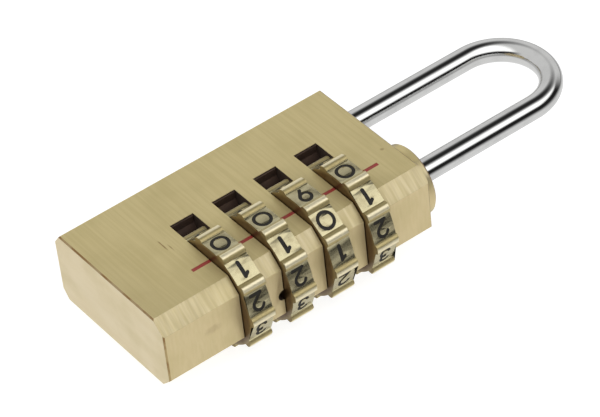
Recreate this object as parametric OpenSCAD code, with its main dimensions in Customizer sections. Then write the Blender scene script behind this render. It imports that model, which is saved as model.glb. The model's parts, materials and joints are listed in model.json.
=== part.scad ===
// Four-dial combination padlock: a solid brass block, four numbered dials on coded hubs,
// and a round steel shackle that slides out of the block when every hub's gate is in line.
// The lock lies on its large face. X runs from the plain end to the shackle, and the dials
// stand out at the front, towards -Y. The origin is under the middle of the whole lock.

/* [Body] */
// Length of the block along the shackle's direction
body_l = 45; // [43:0.5:50]
// Width of the block, from the dial side to the back
body_w = 25.5; // [24.5:0.1:28]
// Thickness of the block
body_t = 12; // [11.8:0.1:13]
// Depth of the long bevels at the dial side, measured back from the front
front_bevel_y = 2.1; // [0.5:0.1:2.4]
// Height of the long bevels at the dial side
front_bevel_z = 2.05; // [0.5:0.05:2.4]
// Depth of the long bevels at the back, measured in from the back
back_bevel_y = 1.5; // [0.5:0.1:2.5]
// Height of the long bevels at the back
back_bevel_z = 2; // [0.5:0.1:3]
// Width of the broken edge around the two ends
edge_break = 0.22; // [0.05:0.01:0.4]

/* [Dial slots] */
// Distance from the plain end to the first dial slot
first_slot_x = 12.4; // [12.3:0.1:13]
// Distance from one dial slot to the next
dial_pitch = 7.05; // [7.05:0.05:7.2]
// Width of each dial slot
slot_w = 3.9; // [3.86:0.01:4]
// Depth of each dial slot from the front
slot_depth = 15.4; // [15.4:0.1:16]
// Distance of the dials' axis behind the front
dial_y = 6.1; // [6:0.1:6.4]

/* [Dials] */
// Number shown on top by each dial, counted from the plain end
shown = [0, 0, 9, 0]; // [0:1:9]
// Width of a dial
dial_w = 3.7; // [3.5:0.05:3.75]
// Radius over the rounded ridges
ridge_tip_r = 8.7; // [8.6:0.05:8.8]
// Radius of one ridge's round top
ridge_r = 0.85; // [0.7:0.05:0.95]
// Distance from the axis to the middle of the faces between the ridges
face_r = 7.95; // [7.8:0.05:8.05]
// Radius of those slightly crowned faces
crown_r = 12; // [9:0.5:30]
// Width of the broken edge on a dial's rim
rim_break = 0.12; // [0.05:0.01:0.3]
// Depth of the engraved numbers
digit_depth = 0.2; // [0.15:0.01:0.3]
// Width of the engraving cutter's stroke
digit_stroke = 0.5; // [0.3:0.01:0.55]

/* [Shackle] */
// Radius of the shackle's round bar
bar_r = 1.75; // [1.6:0.05:1.8]
// Distance of the short leg behind the front
toe_y = 21.1; // [20.5:0.1:21.5]
// Distance from the plain end to the centre of the bow
bow_x = 68.6; // [60:0.1:80]
// Length of the short leg inside the block
toe_depth = 6.4; // [5:0.1:6.6]
// How far the shackle slides out
lift = 7; // [6.9:0.01:7.02]

/* [Lock works] */
// Radius of the long bore that holds the hubs
bore_r = 4.55; // [4.5:0.01:4.6]
// Wall left at the plain end of that bore
bore_wall = 2.6; // [2.2:0.1:2.8]
// Radius of the bore through each dial
dial_bore_r = 3.65; // [3.62:0.01:3.7]
// Depth of the notches around a dial's bore
notch_depth = 0.95; // [0.92:0.01:1.1]
// Width of those notches
notch_w = 1.1; // [1.05:0.05:1.3]
// Radius of the room inside a hub for the leg's lug
chamber_r = 2.95; // [2.9:0.01:3]
// Width of the gate through a hub's web
gate_w = 1.5; // [1.4:0.05:1.8]
// Reach of the leg's lugs from its axis
lug_reach = 2.75; // [2.6:0.05:2.8]
// Width of the lugs
lug_w = 1.2; // [1:0.05:1.25]
// Length of the lugs along the leg
lug_l = 2; // [1.6:0.1:2.1]
// Radius of the round boss that guides the shackle
boss_r = 5.4; // [5:0.1:5.6]
// Height of that boss above the block's end
boss_h = 1.65; // [1:0.05:2]
// Thickness of the leaf springs behind the dials
leaf_t = 0.25; // [0.2:0.01:0.3]
// Width of the leaf springs
leaf_w = 3.7; // [3:0.1:3.8]

/* [Hidden] */
$fn = 64;
hole_fn = 32;
stroke_fn = 24;

// running gaps
leg_gap = 0.1;
sleeve_gap = 0.05;
flange_gap = 0.05;
end_gap = 0.05;
press_gap = 0.01;
overrun = 1;

// dials and hubs
dial_count = len(shown);
digit_count = 10;
digit_step = 360 / digit_count;
ridge_centre_r = ridge_tip_r - ridge_r;
hub_sleeve_r = dial_bore_r - sleeve_gap;
hub_flange_r = bore_r - flange_gap;
hub_tooth_w = notch_w - 2 * sleeve_gap;
hub_tooth_r = hub_flange_r - flange_gap;
hub_l = dial_pitch - 2 * end_gap;
flange_start = slot_w + end_gap;
gate_gap = 0.2;
gate_reach = lug_reach + gate_gap;
rim_clear = 0.01;
lug_start = 0.7;
last_hub_end = first_slot_x + dial_count * dial_pitch - end_gap;

// shackle
bow_r = (toe_y - dial_y) / 2;
bow_y = (toe_y + dial_y) / 2;
toe_x = body_l - toe_depth;
toe_bevel = 0.5;
toe_hole_room = 1;
toe_hole_floor = toe_x - toe_hole_room;
leg_end_room = 0.5;
leg_end_x = bore_wall + leg_end_room;
clip_t = 0.6;
clip_r = 2.7;
clip_groove_r = 1.3;
clip_mouth = 1.9;

// thrust washer, which stops the leg's clip at the end of the lift, and return spring
washer_t = 0.8;
washer_gap = 0.15;
washer_x = first_slot_x - washer_gap - washer_t;
washer_hole_r = bar_r + washer_gap;
clip_x = washer_x - end_gap - lift - clip_t;
coil_wire_r = 0.3;
coil_r = 3.6;
coil_turns = 6;
coil_sides = 10;
coil_steps = 20;

// plug, and the pin that holds it from the underside
plug_gap = 0.1;
plug_inner_x = last_hub_end + plug_gap;
plug_pocket_l = 3;
plug_pocket_end = plug_inner_x + plug_pocket_l;
boss_break = 0.25;
pin_r = 0.75;
pin_inset = 2.1;
pin_x = body_l - pin_inset;
pin_recess = 0.1;
pin_wall = 0.45;
pin_tip_z = -(chamber_r + pin_wall);

// leaf springs: distances along Y from the front and along Z from the axis
leaf_y = slot_depth - leaf_t / 2;
leaf_seat_z = 0.9;
leaf_foot_z = 4.6;
leaf_end_gap = 0.15;
leaf_top_z = body_t / 2 - leaf_end_gap - leaf_t / 2;
nose_r = 0.4;
nose_gap = 0.08;
nose_centre_r = face_r + nose_gap + nose_r;
rivet_head_r = 0.75;
rivet_head_t = 0.18;
rivet_r = 0.5;
rivet_l = 2;
rivet_hole_room = 0.2;

// red index marks in shallow cuts on the upper face
mark_w = 0.62;
mark_depth = 0.2;
mark_fill = 0.15;
first_mark_l = 3;
last_mark_l = 3.6;

// witness hole left by the fixture at the second slot
witness_r = 0.9;
witness_depth = 1.1;
witness_z = -0.6;

// the lock's own frame, counted from the block's plain end, its front and its mid-plane
overall_l = bow_x + bow_r + bar_r;
front_reach = ridge_tip_r - dial_y;
low_reach = ridge_centre_r * cos(digit_step / 2) + ridge_r;

brass = "#c2b283";
polished_brass = "#d8c890";
chrome = "#d9dadc";
hub_brass = "#b08d4a";
blued_steel = "#2b2430";
zinc_steel = "#9a9ca0";
red_paint = "#9c2a2a";

// first edge of a dial slot, where n counts from 0 at the plain end
function slot_x(n) = first_slot_x + n * dial_pitch;

// moves from the block's own corner to the lock's frame
module in_frame() {
    translate([-overall_l / 2, (front_reach - body_w) / 2, low_reach])
        children();
}

// stands things along X on the dials' axis
module on_axis(x = 0) {
    translate([x, dial_y, 0])
        children();
}

// a round bar along X
module rod(r, l) {
    rotate([0, 90, 0])
        cylinder(r = r, h = l);
}

// a round bar along X with its first edge bevelled
module bevelled_rod(r, l, bevel) {
    rotate([0, 90, 0])
        rotate_extrude()
            polygon([[0, 0], [r - bevel, 0], [r, bevel], [r, l], [0, l]]);
}

// one straight stroke with round ends
module stroke(from, to, w) {
    run = to - from;
    translate(from)
        rotate(atan2(run.y, run.x))
            translate([0, -w / 2])
                square([norm(run), w]);
    translate(from)
        circle(d = w, $fn = stroke_fn);
    translate(to)
        circle(d = w, $fn = stroke_fn);
}

// one curved stroke with round ends, from angle a to angle b
module bow_stroke(centre, r, a, b, w) {
    fan = 4 * r;
    steps = 6;
    translate(centre) {
        intersection() {
            difference() {
                circle(r = r + w / 2);
                circle(r = r - w / 2);
            }
            polygon(concat([[0, 0]],
                [for (i = [0 : steps]) let (t = a + (b - a) * i / steps) fan * [cos(t), sin(t)]]));
        }
        for (t = [a, b])
            translate(r * [cos(t), sin(t)])
                circle(d = w, $fn = stroke_fn);
    }
}

// a whole ring stroke
module ring_stroke(centre, r, w) {
    translate(centre)
        difference() {
            circle(r = r + w / 2);
            circle(r = r - w / 2);
        }
}

// the outline of one number, about 2.9 high and centred
module digit(d, w = digit_stroke) {
    top = 1.2;
    side = 0.75;
    if (d == 0) {
        waist = 0.05;
        round = 1.15;
        bow_stroke([0, waist], round, 0, 180, w);
        bow_stroke([0, -waist], round, 180, 360, w);
        stroke([round, -waist], [round, waist], w);
        stroke([-round, -waist], [-round, waist], w);
    }
    if (d == 1) {
        stroke([0.1, 0.15 - top], [0.1, top - 0.15], w * 1.2);
        stroke([0.1, top - 0.15], [-0.42, 0.7], w);
    }
    if (d == 2) {
        bow_stroke([0, 0.42], 0.78, -35, 165, w);
        stroke([0.64, -0.03], [-side, -top], w);
        stroke([-side, -top], [0.88, -top], w);
    }
    if (d == 3) {
        bow_stroke([0, 0.56], 0.64, -90, 155, w);
        bow_stroke([0, -0.5], 0.7, -155, 90, w);
    }
    if (d == 4) {
        stroke([0.35, top], [-0.88, -0.45], w);
        stroke([-0.88, -0.45], [0.88, -0.45], w);
        stroke([0.35, top], [0.35, -top], w);
    }
    if (d == 5) {
        stroke([-0.55, top], [side, top], w);
        stroke([-0.55, top], [-0.62, 0.08], w);
        bow_stroke([-0.06, -0.44], 0.76, -150, 137, w);
    }
    if (d == 6 || d == 9) {
        rotate(d == 9 ? 180 : 0) {
            ring_stroke([0, -0.42], 0.8, w);
            stroke([-0.76, -0.2], [0.1, top], w);
        }
    }
    if (d == 7) {
        stroke([-side, top], [side, top], w);
        stroke([-0.25, -top], [side, top], w);
    }
    if (d == 8) {
        ring_stroke([0, 0.6], 0.62, w);
        ring_stroke([0, -0.52], 0.7, w);
    }
}

// the block's cross-section: Y from the front, Z from the mid-plane
module body_outline() {
    half = body_t / 2;
    polygon([
        [0, front_bevel_z - half], [front_bevel_y, -half],
        [body_w - back_bevel_y, -half], [body_w, back_bevel_z - half],
        [body_w, half - back_bevel_z], [body_w - back_bevel_y, half],
        [front_bevel_y, half], [0, half - front_bevel_z]
    ]);
}

// a rectangle whose two ends, at x = 0 and x = body_l, have broken corners
module broken_ends(low, high) {
    b = edge_break;
    polygon([
        [0, low + b], [b, low], [body_l - b, low], [body_l, low + b],
        [body_l, high - b], [body_l - b, high], [b, high], [0, high - b]
    ]);
}

module body_block() {
    half = body_t / 2;
    intersection() {
        rotate([90, 0, 90])
            linear_extrude(body_l)
                body_outline();
        translate([0, 0, -half])
            linear_extrude(body_t)
                broken_ends(0, body_w);
        translate([0, body_w, 0])
            rotate([90, 0, 0])
                linear_extrude(body_w)
                    broken_ends(-half, half);
    }
}

// the cuts that hold the red paint: [start, length] along X for each
function marks() = concat(
    [[slot_x(0) - first_mark_l, first_mark_l]],
    [for (n = [1 : dial_count - 1]) [slot_x(n - 1) + slot_w, dial_pitch - slot_w]],
    [[slot_x(dial_count - 1) + slot_w, last_mark_l]]
);

module mark_bars(depth, height) {
    for (m = marks())
        translate([m[0], dial_y - mark_w / 2, body_t / 2 - depth])
            cube([m[1], mark_w, height]);
}

module rivet_places() {
    for (n = [0 : dial_count - 1])
        translate([slot_x(n) + slot_w / 2, slot_depth, 0])
            rotate([-90, 0, 0])
                children();
}

module body() {
    color(brass)
        in_frame()
            difference() {
                body_block();
                on_axis(bore_wall)
                    rod(bore_r, body_l);
                for (n = [0 : dial_count - 1])
                    translate([slot_x(n), -overrun, -body_t])
                        cube([slot_w, slot_depth + overrun, 2 * body_t]);
                translate([toe_hole_floor, toe_y, 0])
                    rod(bar_r + leg_gap, toe_depth + 2 * overrun);
                mark_bars(mark_depth, overrun);
                rivet_places()
                    cylinder(r = rivet_r, h = rivet_l, $fn = hole_fn);
                translate([pin_x, dial_y, -body_t])
                    cylinder(r = pin_r, h = body_t, $fn = hole_fn);
                translate([slot_x(1), -overrun, witness_z])
                    rotate([-90, 0, 0])
                        cylinder(r = witness_r, h = witness_depth + overrun, $fn = hole_fn);
            }
}

module index_marks() {
    color(red_paint)
        in_frame()
            mark_bars(mark_depth, mark_fill);
}

// closes the bore, guides the shackle's long leg and holds the hubs in
module shackle_plug() {
    spigot_r = bore_r - press_gap;
    color(brass)
        in_frame()
            difference() {
                on_axis(0)
                    rotate([0, 90, 0])
                        rotate_extrude()
                            polygon([
                                [bar_r + leg_gap, plug_pocket_end], [chamber_r, plug_pocket_end],
                                [chamber_r, plug_inner_x], [spigot_r, plug_inner_x],
                                [spigot_r, body_l], [boss_r, body_l],
                                [boss_r, body_l + boss_h - boss_break],
                                [boss_r - boss_break, body_l + boss_h],
                                [bar_r + leg_gap, body_l + boss_h]
                            ]);
                translate([pin_x, dial_y, -body_t])
                    cylinder(r = pin_r, h = body_t + pin_tip_z, $fn = hole_fn);
            }
}

// pressed in from the underside, it keeps the plug from turning or backing out
module plug_pin() {
    color(zinc_steel)
        in_frame()
            translate([pin_x, dial_y, pin_recess - body_t / 2])
                cylinder(r = pin_r - press_gap, h = body_t / 2 - pin_recess + pin_tip_z, $fn = hole_fn);
}

module shackle() {
    color(chrome)
        in_frame()
            difference() {
                union() {
                    on_axis(leg_end_x)
                        bevelled_rod(bar_r, bow_x - leg_end_x, toe_bevel);
                    translate([toe_x, toe_y, 0])
                        bevelled_rod(bar_r, bow_x - toe_x, toe_bevel);
                    translate([bow_x, bow_y, 0])
                        rotate([0, 0, -90])
                            rotate_extrude(angle = 180)
                                translate([bow_r, 0])
                                    circle(r = bar_r);
                    for (n = [0 : dial_count - 1])
                        translate([slot_x(n) + lug_start, dial_y - lug_reach, -lug_w / 2])
                            cube([lug_l, lug_reach, lug_w]);
                }
                on_axis(clip_x)
                    difference() {
                        rod(bar_r + overrun, clip_t);
                        rod(clip_groove_r, clip_t);
                    }
            }
}

// the split ring on the long leg's inner end that ends the shackle's travel
module leg_clip() {
    color(zinc_steel)
        in_frame()
            on_axis(clip_x)
                difference() {
                    rod(clip_r, clip_t - press_gap);
                    translate([-overrun, 0, 0])
                        rod(clip_groove_r + press_gap, clip_t + 2 * overrun);
                    translate([-overrun, 0, -clip_mouth / 2])
                        cube([clip_t + 2 * overrun, clip_r + overrun, clip_mouth]);
                }
}

// one numbered dial; n counts from 0 at the plain end
module dial(n) {
    half_step = digit_step / 2;
    first_angle = 90 - shown[n] * digit_step;
    color(polished_brass)
        in_frame()
            on_axis(slot_x(n) + (slot_w - dial_w) / 2)
                difference() {
                    intersection() {
                        union() {
                            intersection_for(i = [0 : digit_count - 1])
                                rotate([half_step + i * digit_step, 0, 0])
                                    translate([0, face_r - crown_r, 0])
                                        rod(crown_r, dial_w);
                            for (i = [0 : digit_count - 1])
                                rotate([i * digit_step, 0, 0])
                                    translate([0, ridge_centre_r, 0])
                                        rod(ridge_r, dial_w);
                        }
                        rotate([0, 90, 0])
                            rotate_extrude()
                                polygon([
                                    [0, 0], [ridge_tip_r - rim_break, 0],
                                    [ridge_tip_r + rim_clear, rim_break],
                                    [ridge_tip_r + rim_clear, dial_w - rim_break],
                                    [ridge_tip_r - rim_break, dial_w], [0, dial_w]
                                ]);
                    }
                    for (d = [0 : digit_count - 1])
                        rotate([first_angle + d * digit_step, 0, 0])
                            translate([dial_w / 2, face_r - digit_depth, 0])
                                rotate([90, 0, 180])
                                    linear_extrude(overrun)
                                        digit(d);
                    translate([-overrun, 0, 0])
                        rod(dial_bore_r, dial_w + 2 * overrun);
                    for (i = [0 : digit_count - 1])
                        rotate([90 + i * digit_step, 0, 0])
                            translate([-overrun, 0, -notch_w / 2])
                                cube([dial_w + 2 * overrun, dial_bore_r + notch_depth, notch_w]);
                }
}

// the coded sleeve inside a dial: two teeth turn with the dial, and one gate lets a lug pass
module hub(n) {
    color(hub_brass)
        in_frame()
            on_axis(slot_x(n) + end_gap)
                difference() {
                    union() {
                        rod(hub_sleeve_r, hub_l);
                        translate([flange_start, 0, 0])
                            rod(hub_flange_r, hub_l - flange_start);
                        translate([0, -hub_tooth_w / 2, -hub_tooth_r])
                            cube([flange_start + end_gap, hub_tooth_w, 2 * hub_tooth_r]);
                    }
                    translate([-overrun, 0, 0])
                        rod(chamber_r, slot_w + overrun);
                    rod(bar_r + leg_gap, hub_l + overrun);
                    translate([0, -gate_reach, -gate_w / 2])
                        cube([hub_l + overrun, gate_reach, gate_w]);
                }
}

// a bent leaf behind one dial, with a nose on each side of the nearest ridge
module detent_spring(n) {
    nose_y = dial_y + nose_centre_r * cos(digit_step / 2);
    nose_z = nose_centre_r * sin(digit_step / 2);
    color(blued_steel)
        in_frame()
            difference() {
                translate([slot_x(n) + (slot_w - leaf_w) / 2, 0, 0])
                    rotate([90, 0, 90])
                        linear_extrude(leaf_w) {
                            stroke([leaf_y, -leaf_seat_z], [leaf_y, leaf_seat_z], leaf_t);
                            for (side = [-1, 1]) {
                                stroke([leaf_y, side * leaf_seat_z], [nose_y, side * nose_z], leaf_t);
                                stroke([nose_y, side * nose_z], [leaf_y, side * leaf_foot_z], leaf_t);
                                stroke([leaf_y, side * leaf_foot_z], [leaf_y, side * leaf_top_z], leaf_t);
                                translate([nose_y, side * nose_z])
                                    circle(r = nose_r);
                            }
                        }
                translate([slot_x(n) + slot_w / 2, 0, 0])
                    rotate([-90, 0, 0])
                        cylinder(r = rivet_r, h = body_w, $fn = hole_fn);
            }
}

module spring_rivets() {
    color(zinc_steel)
        in_frame()
            rivet_places() {
                translate([0, 0, -leaf_t])
                    cylinder(r = rivet_r - press_gap, h = leaf_t + rivet_l - rivet_hole_room, $fn = hole_fn);
                translate([0, 0, -leaf_t - rivet_head_t])
                    cylinder(r = rivet_head_r, h = rivet_head_t, $fn = hole_fn);
            }
}

module thrust_washer() {
    color(zinc_steel)
        in_frame()
            on_axis(washer_x)
                difference() {
                    rod(hub_flange_r, washer_t);
                    translate([-overrun, 0, 0])
                        rod(washer_hole_r, washer_t + 2 * overrun);
                }
}

// a coil along X: rings of points, skinned from the first ring to the last
module return_spring() {
    start = bore_wall + coil_wire_r + end_gap;
    run = washer_x - end_gap - coil_wire_r - start;
    rings = coil_turns * coil_steps;
    points = [for (i = [0 : rings], j = [0 : coil_sides - 1])
        let (
            turn = 360 * i / coil_steps,
            side = 360 * j / coil_sides,
            r = coil_r + coil_wire_r * cos(side)
        )
        [start + run * i / rings + coil_wire_r * sin(side), r * cos(turn), r * sin(turn)]];
    skin = [for (i = [0 : rings - 1], j = [0 : coil_sides - 1])
        let (next = (j + 1) % coil_sides)
        [i * coil_sides + j, i * coil_sides + next,
            (i + 1) * coil_sides + next, (i + 1) * coil_sides + j]];
    first_cap = [for (j = [coil_sides - 1 : -1 : 0]) j];
    last_cap = [for (j = [0 : coil_sides - 1]) rings * coil_sides + j];
    color(zinc_steel)
        in_frame()
            on_axis(0)
                polyhedron(points, concat(skin, [first_cap], [last_cap]));
}

body();
shackle_plug();
plug_pin();
shackle();
leg_clip();
dial(0);  // dial_1
dial(1);  // dial_2
dial(2);  // dial_3
dial(3);  // dial_4
hub(0);  // hub_1
hub(1);  // hub_2
hub(2);  // hub_3
hub(3);  // hub_4
detent_spring(0);  // detent_spring_1
detent_spring(1);  // detent_spring_2
detent_spring(2);  // detent_spring_3
detent_spring(3);  // detent_spring_4
spring_rivets();
thrust_washer();
return_spring();
index_marks();
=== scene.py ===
"""Looks of a four-dial brass combination padlock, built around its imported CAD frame."""
from __future__ import annotations

import json
import logging
import math
from dataclasses import dataclass, field

import bmesh
import bpy
from mathutils import Matrix, Vector


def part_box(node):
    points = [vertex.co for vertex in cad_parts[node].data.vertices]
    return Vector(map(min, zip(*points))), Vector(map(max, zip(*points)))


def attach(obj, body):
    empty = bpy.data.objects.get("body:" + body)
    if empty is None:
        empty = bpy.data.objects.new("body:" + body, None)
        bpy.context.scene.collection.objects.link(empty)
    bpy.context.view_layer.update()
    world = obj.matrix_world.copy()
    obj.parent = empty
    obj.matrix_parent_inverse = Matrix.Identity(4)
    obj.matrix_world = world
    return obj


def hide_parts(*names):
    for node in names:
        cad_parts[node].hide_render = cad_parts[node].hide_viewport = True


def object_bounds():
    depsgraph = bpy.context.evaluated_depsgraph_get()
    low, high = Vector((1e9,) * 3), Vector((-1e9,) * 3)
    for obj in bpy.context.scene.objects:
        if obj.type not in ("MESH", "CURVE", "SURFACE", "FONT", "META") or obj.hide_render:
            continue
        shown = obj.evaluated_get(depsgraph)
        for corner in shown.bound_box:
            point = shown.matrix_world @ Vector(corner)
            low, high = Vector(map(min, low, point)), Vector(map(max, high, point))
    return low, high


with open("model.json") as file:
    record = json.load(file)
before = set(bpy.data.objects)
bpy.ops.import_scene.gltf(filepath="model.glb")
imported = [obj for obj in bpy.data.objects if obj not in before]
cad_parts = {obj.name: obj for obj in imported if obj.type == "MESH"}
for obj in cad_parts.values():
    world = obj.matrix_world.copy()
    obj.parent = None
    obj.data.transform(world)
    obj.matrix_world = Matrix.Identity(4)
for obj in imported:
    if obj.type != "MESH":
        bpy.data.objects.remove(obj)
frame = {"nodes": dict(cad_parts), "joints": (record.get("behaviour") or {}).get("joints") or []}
CAD_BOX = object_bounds()

LOG = logging.getLogger("padlock")
MM = 0.001
DIALS = ("dial_1", "dial_2", "dial_3", "dial_4")

# the gap and the angles at which meshes are welded, flattened, shaded sharp and broken
WELD_GAP = 0.0005 * MM
FLAT_ANGLE = math.radians(0.4)
SHARP_ANGLE = math.radians(28)
BROKEN_ANGLE = math.radians(32)

Colour = tuple[float, float, float]
Point = tuple[float, float, float]
Span = tuple[float, float]

WHITE: Colour = (1.0, 1.0, 1.0)

# small marks of use on the block: centre and reach in millimetres, and how strong each is
WEAR_MARKS: tuple[tuple[Point, Point, float], ...] = (
    ((-29.5, 1.5, 14.3), (0.12, 1.5, 0.6), 0.8),
    ((-28.9, 0.4, 14.3), (0.10, 0.9, 0.6), 0.7),
    ((4.4, -3.4, 14.3), (0.35, 0.35, 0.6), 0.5),
    ((-31.2, -11.45, 9.0), (1.6, 0.6, 0.8), 0.22),
)


# ---------------------------------------------------------------------------------------
# Shader building
# ---------------------------------------------------------------------------------------


class Graph:
    """A node tree with short calls for the nodes that the finishes use."""

    def __init__(self, tree: bpy.types.NodeTree) -> None:
        """Starts on a node tree.

        Args:
            tree: the material's, world's or group's node tree.
        """
        self.tree = tree

    def node(self, kind: str, **settings: object) -> bpy.types.Node:
        """Adds a node.

        Args:
            kind: the node's type name.
            settings: its properties.

        Returns:
            The new node.
        """
        made = self.tree.nodes.new(kind)
        for name, value in settings.items():
            setattr(made, name, value)
        return made

    def feed(self, socket: bpy.types.NodeSocket, value: object) -> None:
        """Links a socket to another socket, or sets its value.

        Args:
            socket: the input to feed.
            value: an output socket, or the value that the input keeps.
        """
        if isinstance(value, bpy.types.NodeSocket):
            self.tree.links.new(value, socket)
        elif isinstance(value, tuple) and socket.type == "RGBA":
            socket.default_value = (*value, 1.0)
        else:
            socket.default_value = value

    def maths(self, operation: str, *values: object, clamp: bool = False) -> bpy.types.NodeSocket:
        """Works out one Math node.

        Args:
            operation: the Math node's operation.
            values: numbers or sockets, in order.
            clamp: whether the result stays between 0 and 1.

        Returns:
            The result's socket.
        """
        made = self.node("ShaderNodeMath", operation=operation, use_clamp=clamp)
        for socket, value in zip(made.inputs, values):
            self.feed(socket, value)
        return made.outputs[0]

    def step(self, value: object, low: float, high: float) -> bpy.types.NodeSocket:
        """Eases from 0 at low to 1 at high. With low above high it eases the other way.

        Args:
            value: the number's socket.
            low: where the result is 0.
            high: where the result is 1.

        Returns:
            The eased value's socket.
        """
        rising = low < high
        made = self.node("ShaderNodeMapRange", interpolation_type="SMOOTHSTEP")
        self.feed(made.inputs["Value"], value)
        made.inputs["From Min"].default_value = min(low, high)
        made.inputs["From Max"].default_value = max(low, high)
        made.inputs["To Min"].default_value = 0.0 if rising else 1.0
        made.inputs["To Max"].default_value = 1.0 if rising else 0.0
        return made.outputs["Result"]

    def band(self, value: object, rise: Span, fall: Span) -> bpy.types.NodeSocket:
        """Gives 1 between two eased edges and 0 beyond them."""
        return self.maths("MULTIPLY", self.step(value, *rise), self.step(value, *fall))

    def spread(self, value: object, low: float, high: float) -> bpy.types.NodeSocket:
        """Stretches a value of 0 to 1 to run from low to high."""
        return self.maths("MULTIPLY_ADD", value, high - low, low)

    def mix(self, share: object, first: object, second: object) -> bpy.types.NodeSocket:
        """Mixes two colours.

        Args:
            share: how much of the second colour.
            first: a colour or its socket.
            second: a colour or its socket.

        Returns:
            The mixed colour's socket.
        """
        made = self.node("ShaderNodeMix", data_type="RGBA")
        self.feed(made.inputs[0], share)
        self.feed(made.inputs[6], first)
        self.feed(made.inputs[7], second)
        return made.outputs[2]

    def millimetres(self) -> bpy.types.NodeSocket:
        """Gives the piece's own coordinates in millimetres."""
        made = self.node("ShaderNodeMapping")
        self.feed(made.inputs["Vector"], self.node("ShaderNodeTexCoord").outputs["Object"])
        made.inputs["Scale"].default_value = (1 / MM, 1 / MM, 1 / MM)
        return made.outputs["Vector"]

    def scaled(self, vector: object, scale: Point) -> bpy.types.NodeSocket:
        """Scales a vector by axis.

        Args:
            vector: the vector's socket.
            scale: the factor for each axis.

        Returns:
            The scaled vector's socket.
        """
        made = self.node("ShaderNodeMapping")
        self.feed(made.inputs["Vector"], vector)
        made.inputs["Scale"].default_value = scale
        return made.outputs["Vector"]

    def noise(self, vector: object, scale: float, detail: float = 3.0) -> bpy.types.NodeSocket:
        """Makes a noise value between 0 and 1.

        Args:
            vector: where to read the noise, as a socket.
            scale: how fine the noise is.
            detail: how many finer layers it has.

        Returns:
            The noise value's socket.
        """
        made = self.node("ShaderNodeTexNoise")
        self.feed(made.inputs["Vector"], vector)
        made.inputs["Scale"].default_value = scale
        made.inputs["Detail"].default_value = detail
        return made.outputs["Fac"]

    def parts(self, vector: object) -> list[bpy.types.NodeSocket]:
        """Splits a vector into its three numbers."""
        made = self.node("ShaderNodeSeparateXYZ")
        self.feed(made.inputs[0], vector)
        return list(made.outputs)

    def facing(self) -> list[bpy.types.NodeSocket]:
        """Gives the size of the piece's own normal along X, Y and Z."""
        normal = self.node("ShaderNodeTexCoord").outputs["Normal"]
        return [self.maths("ABSOLUTE", part) for part in self.parts(normal)]

    def bump(self, height: object, strength: float, depth: float) -> bpy.types.NodeSocket:
        """Turns a height into a normal.

        Args:
            height: the height's socket, from 0 to 1.
            strength: how strongly it shows.
            depth: the height's real depth in metres.

        Returns:
            The normal's socket.
        """
        made = self.node("ShaderNodeBump")
        made.inputs["Strength"].default_value = strength
        made.inputs["Distance"].default_value = depth
        self.feed(made.inputs["Height"], height)
        return made.outputs["Normal"]


@dataclass
class Effects:
    """Node groups that more than one finish uses, each built once."""

    fine_scale: float = 5.0
    fine_detail: float = 4.0
    broad_scale: float = 0.9
    broad_detail: float = 2.0
    broad_share: float = 0.5
    shade_span: Span = (0.3, 0.7)
    cloud_scale: float = 1.0
    cloud_detail: float = 3.0
    cloud_span: Span = (0.42, 0.72)
    grind: bpy.types.NodeTree = field(init=False)
    handling: bpy.types.NodeTree = field(init=False)

    def __post_init__(self) -> None:
        """Builds the groups."""
        self.grind = self._grind()
        self.handling = self._handling()

    @staticmethod
    def _group(
        name: str, inputs: dict[str, str], outputs: dict[str, str]
    ) -> tuple[bpy.types.NodeTree, Graph, bpy.types.Node, bpy.types.Node]:
        """Makes an empty group.

        Args:
            name: the group's name.
            inputs: socket names and types.
            outputs: socket names and types.

        Returns:
            The group, a Graph on it, its input node and its output node.
        """
        tree = bpy.data.node_groups.new(name, "ShaderNodeTree")
        for label, kind in inputs.items():
            tree.interface.new_socket(label, in_out="INPUT", socket_type=kind)
        for label, kind in outputs.items():
            tree.interface.new_socket(label, in_out="OUTPUT", socket_type=kind)
        graph = Graph(tree)
        return tree, graph, graph.node("NodeGroupInput"), graph.node("NodeGroupOutput")

    def _grind(self) -> bpy.types.NodeTree:
        """Builds the fine lines that a grinding belt leaves.

        Returns:
            A group from stretched coordinates to a height and a broad shade.
        """
        tree, graph, given, result = self._group(
            "grinding_lines",
            {"Vector": "NodeSocketVector"},
            {"Height": "NodeSocketFloat", "Shade": "NodeSocketFloat"},
        )
        fine = graph.noise(given.outputs["Vector"], self.fine_scale, self.fine_detail)
        broad = graph.noise(given.outputs["Vector"], self.broad_scale, self.broad_detail)
        height = graph.maths("MULTIPLY_ADD", broad, self.broad_share, fine)
        graph.feed(result.inputs["Height"], height)
        graph.feed(result.inputs["Shade"], graph.step(broad, *self.shade_span))
        return tree

    def _handling(self) -> bpy.types.NodeTree:
        """Builds the cloudy marks that fingers and air leave on bare metal.

        Returns:
            A group from coordinates in millimetres to a mask.
        """
        tree, graph, given, result = self._group(
            "handling_marks",
            {"Vector": "NodeSocketVector", "Size": "NodeSocketFloat"},
            {"Mask": "NodeSocketFloat"},
        )
        sized = graph.node("ShaderNodeVectorMath", operation="SCALE")
        graph.feed(sized.inputs[0], given.outputs["Vector"])
        graph.feed(sized.inputs["Scale"], given.outputs["Size"])
        cloud = graph.noise(sized.outputs[0], self.cloud_scale, self.cloud_detail)
        graph.feed(result.inputs["Mask"], graph.step(cloud, *self.cloud_span))
        return tree

    @staticmethod
    def use(graph: Graph, group: bpy.types.NodeTree, **inputs: object) -> bpy.types.Node:
        """Places a group in a material.

        Args:
            graph: the material's graph.
            group: the group to place.
            inputs: what feeds its sockets.

        Returns:
            The group's node.
        """
        placed = graph.node("ShaderNodeGroup", node_tree=group)
        for name, value in inputs.items():
            graph.feed(placed.inputs[name], value)
        return placed


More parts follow.
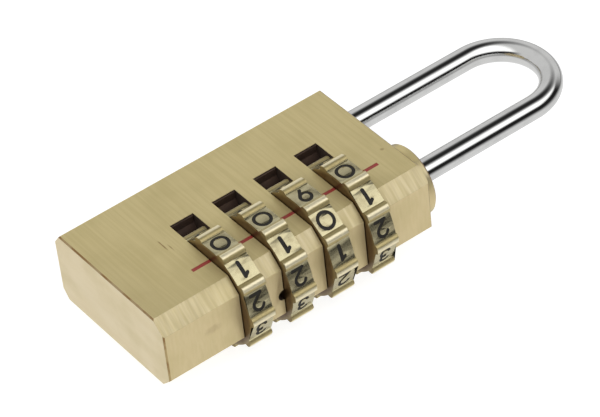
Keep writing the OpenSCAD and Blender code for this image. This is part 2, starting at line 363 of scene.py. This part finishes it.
def blank_material(name: str) -> tuple[bpy.types.Material, Graph, bpy.types.Node]:
    """Makes a material that holds only its Principled shader.

    Args:
        name: the material's name.

    Returns:
        The material, a Graph on it, and the shader's node.
    """
    material = bpy.data.materials.new(name)
    material.use_nodes = True
    graph = Graph(material.node_tree)
    return material, graph, material.node_tree.nodes["Principled BSDF"]


# ---------------------------------------------------------------------------------------
# Finishes
# ---------------------------------------------------------------------------------------


@dataclass(frozen=True)
class BlockBrass:
    """Bar brass ground across its faces, with painted light and shade by face and painted shade in the
    dial slots and the witness hole.
    """

    colour: Colour = (0.78, 0.655, 0.335)
    shade: Colour = (0.60, 0.50, 0.225)
    stroke: Colour = (0.36, 0.29, 0.14)
    # the end, front and bevel colours paint how light falls on each face of the same brass: painted
    # light on the ends, painted shade on the bevels
    end_lit_colour: Colour = (0.86, 0.74, 0.50)
    front_lit_colour: Colour = (0.77, 0.635, 0.36)
    bevel_shaded_colour: Colour = (0.62, 0.53, 0.33)
    oxide: Colour = (0.29, 0.155, 0.05)
    # painted shade: near-black colours for the slots' walls and the witness hole, one near the top and
    # one deeper down
    deep_slot_shade: Colour = (0.050, 0.030, 0.020)
    mouth_slot_shade: Colour = (0.045, 0.027, 0.018)
    roughness: float = 0.46
    bevel_roughness: float = 0.34
    end_roughness: float = 0.5
    metallic: float = 0.62
    slot_shade_depth: float = 4.0
    belt_scale: Point = (2.6, 0.10, 0.5)
    coarse_scale: Point = (2.1, 0.06, 0.2)
    bevel_rise: Span = (0.3, 0.6)
    bevel_fall: Span = (0.95, 0.88)
    rim_rise: Span = (0.3, 0.5)
    rim_fall: Span = (0.95, 0.85)
    end_span: Span = (0.88, 0.97)
    front_span: Span = (0.9, 0.98)
    plain_lines: float = 0.3
    line_share: float = 0.3
    stroke_share: float = 0.52
    bevel_strokes: Span = (0.06, 0.9)
    mark_size: float = 0.16
    mark_share: float = 0.3
    patch_scale: float = 0.35
    patch_span: Span = (0.4, 0.6)
    rim_darkening: Span = (0.55, 0.95)
    wear_scale: float = 1.6
    wear_raggedness: float = 0.8
    wear_span: Span = (1.5, 0.7)
    slot_shade_start: float = 0.4
    line_polish: float = 0.04
    line_tooth: float = 0.06
    slot_shade_roughness: float = 0.3
    slot_shade_metallic: float = 0.1
    fine_relief: Span = (0.3, 1.0)
    bevel_relief: Span = (0.1, 2.0)
    bump_strength: float = 0.3
    bump_depth: float = 0.02 * MM

    def build(self, effects: Effects, slots: SlotRow) -> bpy.types.Material:
        """Builds the material.

        Args:
            effects: the shared node groups.
            slots: where the dial slots are.

        Returns:
            The material.
        """
        material, graph, shader = blank_material("ground_brass")
        where = graph.millimetres()
        along_x, along_y, along_z = graph.facing()
        fine = effects.use(graph, effects.grind, Vector=graph.scaled(where, self.belt_scale))
        coarse = effects.use(graph, effects.grind, Vector=graph.scaled(where, self.coarse_scale))
        marks = effects.use(graph, effects.handling, Vector=where, Size=self.mark_size)
        bevel = graph.band(along_z, self.bevel_rise, self.bevel_fall)
        end = graph.step(along_x, *self.end_span)
        front = graph.step(along_y, *self.front_span)
        rim = graph.band(along_x, self.rim_rise, self.rim_fall)
        plain = graph.maths("MAXIMUM", end, front)
        lined = graph.spread(plain, 1.0, self.plain_lines)
        lines = graph.maths("MULTIPLY", fine.outputs["Shade"], lined)
        stroked = graph.spread(bevel, *self.bevel_strokes)
        strokes = graph.maths("MULTIPLY", coarse.outputs["Shade"], stroked)
        # painted light and shade: each face takes the colour set for the way it faces
        colour = graph.mix(front, self.colour, self.front_lit_colour)
        colour = graph.mix(end, colour, self.end_lit_colour)
        colour = graph.mix(bevel, colour, self.bevel_shaded_colour)
        colour = graph.mix(graph.maths("MULTIPLY", lines, self.line_share), colour, self.shade)
        colour = graph.mix(graph.maths("MULTIPLY", strokes, self.stroke_share), colour, self.stroke)
        handled = graph.maths("MULTIPLY", marks.outputs["Mask"], self.mark_share)
        colour = graph.mix(handled, colour, self.shade)
        # the end faces' broken edges are darkened in patches
        patches = graph.step(graph.noise(where, self.patch_scale), *self.patch_span)
        worn = graph.maths("MULTIPLY", rim, graph.spread(patches, *self.rim_darkening))
        colour = graph.mix(worn, colour, self.oxide)
        colour = graph.mix(self._wear(graph, where), colour, self.oxide)
        # painted shade: the slots' walls and the witness hole are darkened, made rougher and less
        # metallic
        slot_shade_mask = graph.maths("MAXIMUM", slots.mask(graph, where), slots.hole_mask(graph, where))
        height = graph.parts(where)[2]
        depth = graph.step(height, slots.high - self.slot_shade_start, slots.high - self.slot_shade_depth)
        slot_shade_colour = graph.mix(depth, self.mouth_slot_shade, self.deep_slot_shade)
        graph.feed(shader.inputs["Base Color"], graph.mix(slot_shade_mask, colour, slot_shade_colour))
        smooth, coarser = self.roughness - self.line_polish, self.roughness + self.line_tooth
        rough = graph.spread(fine.outputs["Shade"], smooth, coarser)
        rough = graph.maths("MULTIPLY_ADD", end, self.end_roughness - self.roughness, rough)
        rough = graph.maths("MULTIPLY_ADD", bevel, self.bevel_roughness - self.roughness, rough)
        rough = graph.maths("MULTIPLY_ADD", slot_shade_mask, self.slot_shade_roughness, rough, clamp=True)
        graph.feed(shader.inputs["Roughness"], rough)
        bare = graph.maths("MULTIPLY_ADD", slot_shade_mask, self.slot_shade_metallic - self.metallic, self.metallic)
        graph.feed(shader.inputs["Metallic"], bare)
        cut = graph.spread(lined, *self.fine_relief)
        relief = graph.maths("MULTIPLY", fine.outputs["Height"], cut)
        filed = graph.spread(bevel, *self.bevel_relief)
        relief = graph.maths("MULTIPLY_ADD", coarse.outputs["Height"], filed, relief)
        graph.feed(shader.inputs["Normal"], graph.bump(relief, self.bump_strength, self.bump_depth))
        return material

    def _wear(self, graph: Graph, where: bpy.types.NodeSocket) -> bpy.types.NodeSocket:
        """Masks the few small scratches and smudges that the block has picked up.

        Args:
            graph: the material's graph.
            where: coordinates in millimetres.

        Returns:
            The mask's socket.
        """
        total = None
        for centre, reach, amount in WEAR_MARKS:
            placed = graph.node("ShaderNodeMapping", vector_type="TEXTURE")
            graph.feed(placed.inputs["Vector"], where)
            placed.inputs["Location"].default_value = centre
            placed.inputs["Scale"].default_value = reach
            ragged = graph.node("ShaderNodeVectorMath", operation="LENGTH")
            graph.feed(ragged.inputs[0], placed.outputs[0])
            torn = graph.noise(where, self.wear_scale)
            noisy = graph.maths("MULTIPLY_ADD", torn, self.wear_raggedness, ragged.outputs["Value"])
            mark = graph.maths("MULTIPLY", graph.step(noisy, *self.wear_span), amount)
            total = mark if total is None else graph.maths("MAXIMUM", total, mark)
        return total


@dataclass(frozen=True)
class DialBrass:
    """Polished brass with turned sides; painted shade darkens it towards the bore, and the ridges carry
    a painted highlight on their crests and painted shade on their flanks.
    """

    axis: tuple[float, float]
    colour: Colour = (0.79, 0.735, 0.46)
    # painted highlight on the ridges' crests and painted shade on their flanks
    crest_highlight: Colour = (0.98, 0.89, 0.62)
    flank_shade: Colour = (0.54, 0.45, 0.22)
    side_colour: Colour = (0.40, 0.32, 0.165)
    # painted shade for the gap between the dials and the block's fins, growing towards the bore
    fin_gap_shade: Colour = (0.13, 0.075, 0.030)
    roughness: float = 0.2
    ridge_roughness: float = 0.46
    side_roughness: float = 0.36
    metallic: float = 0.9
    ridge_foot: float = 8.02
    flank_radius: float = 8.22
    crest_foot: float = 8.57
    crest_radius: float = 8.67
    fin_gap_shade_radius: float = 7.2
    bright_radius: float = 8.5
    side_span: Span = (0.75, 0.95)
    mark_size: float = 0.9
    mark_share: float = 0.3
    mark_roughness: float = 0.1
    ring_scale: float = 4.0
    line_scale: Point = (3.0, 0.4, 0.4)
    bump_strength: float = 0.03
    bump_depth: float = 0.01 * MM

    def build(self, effects: Effects) -> bpy.types.Material:
        """Builds the material.

        Args:
            effects: the shared node groups.

        Returns:
            The material.
        """
        material, graph, shader = blank_material("polished_brass")
        where = graph.millimetres()
        _, y, z = graph.parts(where)
        off_y, off_z = (graph.maths("SUBTRACT", part, centre) for part, centre in zip((y, z), self.axis))
        squares = graph.maths("MULTIPLY_ADD", off_y, off_y, graph.maths("MULTIPLY", off_z, off_z))
        radius = graph.maths("SQRT", squares)
        side = graph.step(graph.facing()[0], *self.side_span)
        marks = effects.use(graph, effects.handling, Vector=where, Size=self.mark_size)
        rings = graph.node("ShaderNodeCombineXYZ")
        graph.feed(rings.inputs["X"], graph.maths("MULTIPLY", radius, self.ring_scale))
        turned = effects.use(graph, effects.grind, Vector=rings.outputs[0])
        lines = effects.use(graph, effects.grind, Vector=graph.scaled(where, self.line_scale))
        handled = graph.maths("MULTIPLY", marks.outputs["Mask"], self.mark_share)
        colour = graph.mix(handled, self.colour, self.side_colour)
        ridge = graph.step(radius, self.ridge_foot, self.flank_radius)
        crest = graph.step(radius, self.crest_foot, self.crest_radius)
        # painted shade on the ridges' flanks and painted highlight on their crests, chosen by radius
        colour = graph.mix(ridge, colour, self.flank_shade)
        colour = graph.mix(crest, colour, self.crest_highlight)
        colour = graph.mix(side, colour, self.side_colour)
        # painted shade: darker towards the bore, where the gap to the fins falls in shade
        deep = graph.step(radius, self.bright_radius, self.fin_gap_shade_radius)
        colour = graph.mix(deep, colour, self.fin_gap_shade)
        graph.feed(shader.inputs["Base Color"], colour)
        rough = graph.spread(marks.outputs["Mask"], self.roughness, self.roughness + self.mark_roughness)
        rough = graph.maths("MULTIPLY_ADD", ridge, self.ridge_roughness - self.roughness, rough)
        rough = graph.maths("MULTIPLY_ADD", side, self.side_roughness - self.roughness, rough)
        graph.feed(shader.inputs["Roughness"], rough)
        shader.inputs["Metallic"].default_value = self.metallic
        relief = graph.maths("MULTIPLY_ADD", turned.outputs["Height"], side, lines.outputs["Height"])
        graph.feed(shader.inputs["Normal"], graph.bump(relief, self.bump_strength, self.bump_depth))
        return material


@dataclass(frozen=True)
class PlainMetal:
    """Plated, turned or blued metal with light handling marks."""

    name: str
    colour: Colour
    shade: Colour
    roughness: float
    bump_strength: float = 0.08
    line_scale: Point = (1.5, 1.5, 1.5)
    metallic: float = 1.0
    mark_size: float = 0.35
    mark_roughening: float = 1.5
    bump_depth: float = 0.01 * MM

    def build(self, effects: Effects) -> bpy.types.Material:
        """Builds the material.

        Args:
            effects: the shared node groups.

        Returns:
            The material.
        """
        material, graph, shader = blank_material(self.name)
        where = graph.millimetres()
        marks = effects.use(graph, effects.handling, Vector=where, Size=self.mark_size)
        lines = effects.use(graph, effects.grind, Vector=graph.scaled(where, self.line_scale))
        mask = marks.outputs["Mask"]
        graph.feed(shader.inputs["Base Color"], graph.mix(mask, self.colour, self.shade))
        rough = graph.spread(mask, self.roughness, self.roughness * self.mark_roughening)
        graph.feed(shader.inputs["Roughness"], rough)
        shader.inputs["Metallic"].default_value = self.metallic
        relief = graph.bump(lines.outputs["Height"], self.bump_strength, self.bump_depth)
        graph.feed(shader.inputs["Normal"], relief)
        return material


@dataclass(frozen=True)
class Paint:
    """Enamel wiped into a cut, a little uneven and dusty."""

    name: str
    colour: Colour
    worn: Colour
    roughness: float = 0.35
    patch_size: float = 2.2
    patch_roughness: float = 0.25
    worn_share: float = 0.6
    grain_scale: float = 6.0
    bump_strength: float = 0.3
    bump_depth: float = 0.02 * MM

    def build(self, effects: Effects) -> bpy.types.Material:
        """Builds the material.

        Args:
            effects: the shared node groups.

        Returns:
            The material.
        """
        material, graph, shader = blank_material(self.name)
        where = graph.millimetres()
        patches = effects.use(graph, effects.handling, Vector=where, Size=self.patch_size)
        share = graph.maths("MULTIPLY", patches.outputs["Mask"], self.worn_share)
        graph.feed(shader.inputs["Base Color"], graph.mix(share, self.colour, self.worn))
        dusty = self.roughness + self.patch_roughness
        rough = graph.spread(patches.outputs["Mask"], self.roughness, dusty)
        graph.feed(shader.inputs["Roughness"], rough)
        grain = graph.noise(where, self.grain_scale)
        graph.feed(shader.inputs["Normal"], graph.bump(grain, self.bump_strength, self.bump_depth))
        return material


@dataclass(frozen=True)
class SlotRow:
    """The row of dial slots, as places that a finish can mask."""

    first_centre: float
    pitch: float
    width: float
    low: float
    high: float
    front: float
    depth: float
    hole_radius: float = 0.9
    hole_depth: float = 1.1
    hole_z: float = -0.6
    hole_rim: Span = (0.06, 0.02)
    hole_mouth: Span = (0.03, 0.12)
    dial_room: float = 0.2
    wall_room: float = 0.015
    mouth: Span = (0.02, 0.12)
    floor: Span = (0.3, 0.1)

    @classmethod
    def from_frame(cls) -> SlotRow:
        """Reads the slots' places from the dials and the block."""
        first, second = (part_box(name) for name in DIALS[:2])
        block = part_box("body")
        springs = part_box("detent_spring_1")
        return cls(
            first_centre=(first[0].x + first[1].x) / 2 / MM,
            pitch=(second[0].x - first[0].x) / MM,
            width=(first[1].x - first[0].x) / MM + cls.dial_room,
            low=block[0].z / MM,
            high=block[1].z / MM,
            front=block[0].y / MM,
            depth=(springs[1].y - block[0].y) / MM,
        )

    def mask(self, graph: Graph, where: bpy.types.NodeSocket) -> bpy.types.NodeSocket:
        """Makes a mask that is 1 on the slots' walls and 0 on the outer faces.

        Args:
            graph: the material's graph.
            where: coordinates in millimetres.

        Returns:
            The mask's socket.
        """
        x, y, z = graph.parts(where)
        row_start = self.first_centre - self.pitch / 2
        turns = graph.maths("DIVIDE", graph.maths("SUBTRACT", x, row_start), self.pitch)
        past_start = graph.maths("GREATER_THAN", turns, 0.0)
        before_end = graph.maths("LESS_THAN", turns, len(DIALS))
        inside_row = graph.maths("MULTIPLY", past_start, before_end)
        off_centre = graph.maths("ABSOLUTE", graph.maths("SUBTRACT", graph.maths("FRACT", turns), 0.5))
        in_slot = graph.maths("LESS_THAN", off_centre, (self.width / 2 + self.wall_room) / self.pitch)
        below = graph.step(z, *(self.high - room for room in self.mouth))
        above = graph.step(z, *(self.low + room for room in self.mouth))
        deep = graph.step(y, *(self.front + self.depth + room for room in self.floor))
        held = graph.maths("MULTIPLY", graph.maths("MULTIPLY", below, above), deep)
        return graph.maths("MULTIPLY", graph.maths("MULTIPLY", in_slot, inside_row), held)

    def hole_mask(self, graph: Graph, where: bpy.types.NodeSocket) -> bpy.types.NodeSocket:
        """Makes a mask that is 1 inside the fixture's witness hole at the second slot.

        Args:
            graph: the material's graph.
            where: coordinates in millimetres.

        Returns:
            The mask's socket.
        """
        x, y, z = graph.parts(where)
        edge = self.first_centre + self.pitch - self.width / 2
        middle = (self.low + self.high) / 2 + self.hole_z
        across = graph.maths("SUBTRACT", x, edge)
        upward = graph.maths("SUBTRACT", z, middle)
        squares = graph.maths("MULTIPLY_ADD", across, across, graph.maths("MULTIPLY", upward, upward))
        radius = graph.maths("SQRT", squares)
        near = graph.step(radius, *(self.hole_radius + room for room in self.hole_rim))
        inward = graph.step(y, *(self.front + room for room in self.hole_mouth))
        shallow = graph.step(y, *(self.front + self.hole_depth + room for room in self.floor))
        return graph.maths("MULTIPLY", near, graph.maths("MULTIPLY", inward, shallow))


# ---------------------------------------------------------------------------------------
# Pieces
# ---------------------------------------------------------------------------------------


def add_piece(name: str, mesh: bmesh.types.BMesh, material: bpy.types.Material) -> bpy.types.Object:
    """Makes an object of a bmesh and frees it.

    Args:
        name: the piece's name.
        mesh: the shape, in metres in the lock's frame.
        material: what the piece is made of.

    Returns:
        The new object, smooth except at its real edges.
    """
    data = bpy.data.meshes.new(name)
    mesh.to_mesh(data)
    mesh.free()
    data.materials.append(material)
    data.shade_smooth()
    data.set_sharp_from_angle(angle=SHARP_ANGLE)
    piece = bpy.data.objects.new(name, data)
    bpy.context.scene.collection.objects.link(piece)
    return piece


def merged_copy(node: str) -> bmesh.types.BMesh:
    """Copies a CAD node's mesh with its loose triangles merged.

    Args:
        node: the CAD node's name.

    Returns:
        The copy, with flat areas joined into single faces.
    """
    mesh = bmesh.new()
    mesh.from_mesh(frame["nodes"][node].data)
    bmesh.ops.remove_doubles(mesh, verts=mesh.verts, dist=WELD_GAP)
    bmesh.ops.dissolve_limit(
        mesh, angle_limit=FLAT_ANGLE, use_dissolve_boundaries=False,
        verts=mesh.verts, edges=mesh.edges,
    )
    return mesh


def dial_axis(number: int) -> Vector:
    """Gives a point on a dial's axis, in metres."""
    joint = next(j for j in frame["joints"] if j["name"] == f"dial_{number}_spin")
    return Vector(joint["pos_m"])


def soften(piece: bpy.types.Object, width: float, segments: int = 2) -> None:
    """Breaks a piece's sharp edges, as tumbling and use do.

    Args:
        piece: the piece.
        width: how far each broken edge reaches, in metres.
        segments: how many faces round it.
    """
    rounding = piece.modifiers.new("broken_edges", "BEVEL")
    rounding.limit_method = "ANGLE"
    rounding.angle_limit = BROKEN_ANGLE
    rounding.width = width
    rounding.segments = segments
    rounding.use_clamp_overlap = True
    rounding.harden_normals = True
    rounding.miter_outer = "MITER_ARC"


def dress_cad_node(node: str, material: bpy.types.Material) -> None:
    """Gives a carried-over CAD node its finish.

    Args:
        node: the CAD node's name.
        material: its material.
    """
    shown = frame["nodes"][node]
    for place in shown.material_slots:
        place.material = material
    LOG.info("dressed %s with %s", node, material.name)


@dataclass
class Workshop:
    """The finishes, built once and shared by the sub-assemblies."""

    effects: Effects = field(default_factory=Effects)
    slots: SlotRow = field(default_factory=SlotRow.from_frame)
    block: bpy.types.Material = field(init=False)
    dial: bpy.types.Material = field(init=False)
    chrome: bpy.types.Material = field(init=False)
    hub: bpy.types.Material = field(init=False)
    zinc: bpy.types.Material = field(init=False)
    blued: bpy.types.Material = field(init=False)
    red: bpy.types.Material = field(init=False)
    black: bpy.types.Material = field(init=False)

    def __post_init__(self) -> None:
        """Builds every material."""
        self.block = BlockBrass().build(self.effects, self.slots)
        axis = dial_axis(1) / MM
        self.dial = DialBrass(axis=(axis.y, axis.z)).build(self.effects)
        self.chrome = PlainMetal(
            "bright_chrome", colour=(0.74, 0.74, 0.73), shade=(0.67, 0.67, 0.66),
            roughness=0.09, bump_strength=0.012, line_scale=(0.01, 1.0, 1.0),
        ).build(self.effects)
        self.hub = PlainMetal(
            "turned_brass", colour=(0.62, 0.47, 0.22), shade=(0.42, 0.30, 0.14), roughness=0.28,
        ).build(self.effects)
        self.zinc = PlainMetal(
            "zinc_plate", colour=(0.55, 0.56, 0.58), shade=(0.40, 0.41, 0.42), roughness=0.32,
        ).build(self.effects)
        self.blued = PlainMetal(
            "blued_steel", colour=(0.080, 0.049, 0.036), shade=(0.056, 0.035, 0.027),
            roughness=0.5, bump_strength=0.1, metallic=0.6,
        ).build(self.effects)
        self.red = Paint(
            "index_red", colour=(0.36, 0.042, 0.034), worn=(0.28, 0.085, 0.060),
        ).build(self.effects)
        self.black = Paint(
            "number_black", colour=(0.010, 0.008, 0.005), worn=(0.028, 0.023, 0.014), roughness=0.6,
        ).build(self.effects)


@dataclass
class Block:
    """The milled body with its round plug, pin and index line."""

    shop: Workshop
    edge: float = 0.07 * MM
    boss_edge: float = 0.08 * MM

    def build(self) -> None:
        """Builds and dresses the block's pieces."""
        body = add_piece("block", merged_copy("body"), self.shop.block)
        soften(body, self.edge)
        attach(body, "case")
        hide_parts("body")
        plug = add_piece("shackle_boss", merged_copy("shackle_plug"), self.shop.block)
        soften(plug, self.boss_edge)
        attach(plug, "case")
        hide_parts("shackle_plug")
        dress_cad_node("plug_pin", self.shop.zinc)
        dress_cad_node("index_marks", self.shop.red)
        LOG.info("built the block and its boss")


@dataclass
class Dial:
    """One numbered dial, with the enamel in its numbers and its hub."""

    shop: Workshop
    number: int
    edge: float = 0.035 * MM
    face_radius: float = 7.95 * MM
    cut_depth: float = 0.2 * MM
    enamel: float = 0.11 * MM
    floor_tolerance: float = 0.02 * MM
    upright_limit: float = 0.01

    def numbers(self) -> bmesh.types.BMesh:
        """Makes the enamel from the floors of the engraved numbers.

        Returns:
            The enamel's shape, one closed solid in each number.
        """
        mesh = merged_copy(f"dial_{self.number}")
        centre = dial_axis(self.number)
        floor = self.face_radius - self.cut_depth
        others = [
            face for face in mesh.faces
            if abs(face.normal.x) > self.upright_limit
            or abs(face.normal.dot(face.calc_center_median() - centre) - floor) > self.floor_tolerance
        ]
        bmesh.ops.delete(mesh, geom=others, context="FACES")
        bmesh.ops.solidify(mesh, geom=mesh.faces[:], thickness=-self.enamel)
        bmesh.ops.recalc_face_normals(mesh, faces=mesh.faces[:])
        return mesh

    def build(self) -> None:
        """Builds and dresses the dial's pieces."""
        body = f"dial_{self.number}"
        ring = add_piece(f"number_dial_{self.number}", merged_copy(body), self.shop.dial)
        soften(ring, self.edge)
        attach(ring, body)
        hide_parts(body)
        fill = add_piece(f"number_enamel_{self.number}", self.numbers(), self.shop.black)
        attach(fill, body)
        dress_cad_node(f"hub_{self.number}", self.shop.hub)
        dress_cad_node(f"detent_spring_{self.number}", self.shop.blued)
        LOG.info("built dial %d", self.number)


@dataclass
class Shackle:
    """The bent bar, swept from its inner end round the bow to the short leg's tip."""

    shop: Workshop
    sides: int = 64
    bow_steps: int = 56
    tip_bevel: float = 0.5 * MM
    groove_radius: float = 1.3 * MM
    groove_side: float = 0.01 * MM
    dial_gap: float = 0.1 * MM
    lug_start: float = 0.7 * MM
    lug_length: float = 2.0 * MM
    lug_width: float = 1.2 * MM
    radius: float = field(init=False)
    middle: float = field(init=False)
    long_y: float = field(init=False)
    short_y: float = field(init=False)
    bow_radius: float = field(init=False)
    bow_x: float = field(init=False)

    def build(self) -> None:
        """Builds and dresses the bar and its clip."""
        low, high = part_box("shackle")
        self.radius = (high.z - low.z) / 2
        self.middle = (high.z + low.z) / 2
        self.long_y = dial_axis(1).y
        self.short_y = high.y - self.radius
        self.bow_radius = (self.short_y - self.long_y) / 2
        self.bow_x = high.x - self.radius - self.bow_radius
        bar = add_piece("shackle_bar", self._bar(low.x), self.shop.chrome)
        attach(bar, "shackle")
        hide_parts("shackle")
        dress_cad_node("leg_clip", self.shop.zinc)
        LOG.info("built the shackle")

    def _extend(
        self, mesh: bmesh.types.BMesh, ring: list[bmesh.types.BMEdge], x: float, radius: float,
        centre_y: float,
    ) -> list[bmesh.types.BMEdge]:
        """Extrudes a ring of edges to a new place and radius.

        Args:
            mesh: the bar so far.
            ring: the edges of its open end.
            x: the new ring's place along X.
            radius: the new ring's radius.
            centre_y: the leg's place along Y.

        Returns:
            The new open end's edges.
        """
        made = bmesh.ops.extrude_edge_only(mesh, edges=ring)["geom"]
        points = [part for part in made if isinstance(part, bmesh.types.BMVert)]
        centre = Vector((x, centre_y, self.middle))
        for point in points:
            outward = Vector((0, point.co.y - centre_y, point.co.z - self.middle)).normalized()
            point.co = centre + outward * radius
        return [part for part in made if isinstance(part, bmesh.types.BMEdge)
                and all(end in points for end in part.verts)]

    def _bar(self, inner_end: float) -> bmesh.types.BMesh:
        """Sweeps the whole bar and adds the lugs.

        Args:
            inner_end: the long leg's inner end along X.

        Returns:
            The bar's shape.
        """
        mesh = bmesh.new()
        turned = Matrix.Rotation(math.pi / 2, 4, "Y")
        stand = Matrix.Translation((inner_end, self.long_y, self.middle)) @ turned
        bmesh.ops.create_circle(
            mesh, cap_ends=True, segments=self.sides, radius=self.radius - self.tip_bevel, matrix=stand
        )
        ring = mesh.edges[:]
        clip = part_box("leg_clip")
        for x, radius in (
            (inner_end + self.tip_bevel, self.radius),
            (clip[0].x - self.groove_side, self.radius),
            (clip[0].x - self.groove_side, self.groove_radius),
            (clip[1].x + self.groove_side, self.groove_radius),
            (clip[1].x + self.groove_side, self.radius),
            (self.bow_x, self.radius),
        ):
            ring = self._extend(mesh, ring, x, radius, self.long_y)
        centre = Vector((self.bow_x, self.long_y + self.bow_radius, self.middle))
        spun = bmesh.ops.spin(
            mesh, geom=ring, cent=centre, axis=(0, 0, 1), angle=math.pi, steps=self.bow_steps,
            use_duplicate=False,
        )["geom_last"]
        ring = [part for part in spun if isinstance(part, bmesh.types.BMEdge)]
        short_end = self._short_end()
        for x, radius in (
            (short_end + self.tip_bevel, self.radius),
            (short_end, self.radius - self.tip_bevel),
        ):
            ring = self._extend(mesh, ring, x, radius, self.short_y)
        bmesh.ops.edgeloop_fill(mesh, edges=ring)
        self._add_lugs(mesh)
        bmesh.ops.recalc_face_normals(mesh, faces=mesh.faces[:])
        return mesh

    def _short_end(self) -> float:
        """Finds the short leg's tip along X from the CAD node's vertices."""
        points = [v.co for v in frame["nodes"]["shackle"].data.vertices]
        return min(p.x for p in points if p.y > self.long_y + self.bow_radius)

    def _add_lugs(self, mesh: bmesh.types.BMesh) -> None:
        """Adds the four lugs that pass the hubs' gates.

        Args:
            mesh: the bar so far.
        """
        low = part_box("shackle")[0]
        reach = self.long_y - low.y
        for name in DIALS:
            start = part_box(name)[0].x - self.dial_gap + self.lug_start
            size = Vector((self.lug_length, reach, self.lug_width))
            place = Matrix.Translation((start + size.x / 2, self.long_y - reach / 2, self.middle))
            bmesh.ops.create_cube(mesh, size=1.0, matrix=place @ Matrix.Diagonal((*size, 1.0)))


@dataclass
class InnerWorks:
    """The rivets, washer and spring inside the block."""

    shop: Workshop

    def build(self) -> None:
        """Dresses the hidden steel parts."""
        for node in ("spring_rivets", "thrust_washer", "return_spring"):
            dress_cad_node(node, self.shop.zinc)


# ---------------------------------------------------------------------------------------
# Studio
# ---------------------------------------------------------------------------------------


@dataclass
class Studio:
    """A pale floor, a soft surrounding light and the camera."""

    azimuth: float = -33.15
    elevation: float = 41.6
    roll: float = -6.62
    distance: float = 0.4493
    lens: float = 195.6
    sensor: float = 36.0
    aim: Point = (-0.00788, -0.00040, 0.0083)
    shift: tuple[float, float] = (-0.0032, 0.0056)
    dark_gap: Point = (0.47, 0.14, 0.87)
    front_light: float = 1.5
    back_light: float = 0.70
    table_light: float = 0.8
    least_light: float = 0.015
    gap_light: float = 0.01
    gap_span: Span = (0.82, 0.995)
    front_span: Span = (0.1, -0.3)
    above_span: Span = (0.33, 0.56)
    behind_span: Span = (-0.3, 0.3)
    behind_rise: Span = (-0.3, 0.0)
    table_span: Span = (0.02, -0.5)
    near_clip: float = 0.01
    floor_colour: Colour = (0.35, 0.35, 0.35)
    floor_roughness: float = 0.9
    floor_glow: float = 0.84
    floor_radius: float = 3.0
    floor_sides: int = 96

    def build(self) -> None:
        """Builds the floor, the light and the camera."""
        self._camera()
        self._floor()
        self._surroundings()
        bpy.context.scene.view_settings.view_transform = "Standard"

    def _camera(self) -> None:
        """Places the camera round the lock."""
        data = bpy.data.cameras.new("camera")
        data.lens = self.lens
        data.sensor_width = self.sensor
        data.shift_x, data.shift_y = self.shift
        data.clip_start = self.near_clip
        camera = bpy.data.objects.new("camera", data)
        turn, rise = math.radians(self.azimuth), math.radians(self.elevation)
        level_reach = math.cos(rise)
        back = Vector((math.sin(turn) * level_reach, -math.cos(turn) * level_reach, math.sin(rise)))
        level = back.to_track_quat("Z", "Y").to_matrix().to_4x4()
        place = Matrix.Translation(Vector(self.aim) + back * self.distance)
        camera.matrix_world = place @ level @ Matrix.Rotation(math.radians(self.roll), 4, "Z")
        bpy.context.scene.collection.objects.link(camera)
        bpy.context.scene.camera = camera

    def _floor(self) -> None:
        """Lays a wide round floor under the lock."""
        material, graph, shader = blank_material("pale_floor")
        graph.feed(shader.inputs["Base Color"], self.floor_colour)
        shader.inputs["Roughness"].default_value = self.floor_roughness
        graph.feed(shader.inputs["Emission Color"], WHITE)
        shader.inputs["Emission Strength"].default_value = self.floor_glow
        clear = graph.node("ShaderNodeBsdfTransparent")
        sides = graph.node("ShaderNodeMixShader")
        graph.feed(sides.inputs[0], graph.node("ShaderNodeNewGeometry").outputs["Backfacing"])
        graph.feed(sides.inputs[1], shader.outputs["BSDF"])
        graph.feed(sides.inputs[2], clear.outputs["BSDF"])
        graph.feed(material.node_tree.nodes["Material Output"].inputs["Surface"], sides.outputs[0])
        mesh = bmesh.new()
        bmesh.ops.create_circle(
            mesh, cap_ends=True, segments=self.floor_sides, radius=self.floor_radius
        )
        floor = add_piece("floor", mesh, material)
        floor.location.z = CAD_BOX[0].z
        floor.visible_glossy = False

    def _surroundings(self) -> None:
        """Builds the soft light as a gradient round the lock."""
        world = bpy.data.worlds.new("studio")
        bpy.context.scene.world = world
        world.use_nodes = True
        graph = Graph(world.node_tree)
        shader = world.node_tree.nodes["Background"]
        towards = graph.node("ShaderNodeTexCoord").outputs["Generated"]
        _, y, z = graph.parts(towards)
        nearness = graph.node("ShaderNodeVectorMath", operation="DOT_PRODUCT")
        graph.feed(nearness.inputs[0], towards)
        nearness.inputs[1].default_value = self.dark_gap
        gap = graph.step(nearness.outputs["Value"], *self.gap_span)
        front = graph.step(y, *self.front_span)
        above = graph.step(z, *self.above_span)
        far_side = graph.step(y, *self.behind_span)
        behind = graph.maths("MULTIPLY", far_side, graph.step(z, *self.behind_rise))
        sky = graph.maths("MULTIPLY", above, graph.spread(front, self.back_light, self.front_light))
        sky = graph.maths("MAXIMUM", sky, graph.maths("MULTIPLY", behind, self.back_light))
        sky = graph.maths("MULTIPLY", sky, graph.spread(gap, 1.0, self.gap_light))
        table = graph.maths("MULTIPLY", graph.step(z, *self.table_span), self.table_light)
        level = graph.maths("ADD", graph.maths("MAXIMUM", sky, table), self.least_light)
        seen = graph.node("ShaderNodeLightPath").outputs["Is Camera Ray"]
        graph.feed(shader.inputs["Color"], graph.mix(seen, level, WHITE))
        shader.inputs["Strength"].default_value = 1.0


def main() -> None:
    """Builds the lock's looks and its studio."""
    logging.basicConfig(level=logging.INFO, format="%(name)s: %(message)s")
    Studio().build()
    shop = Workshop()
    Block(shop).build()
    for number in range(1, len(DIALS) + 1):
        Dial(shop, number).build()
    Shackle(shop).build()
    InnerWorks(shop).build()


if __name__ == "__main__":
    main()
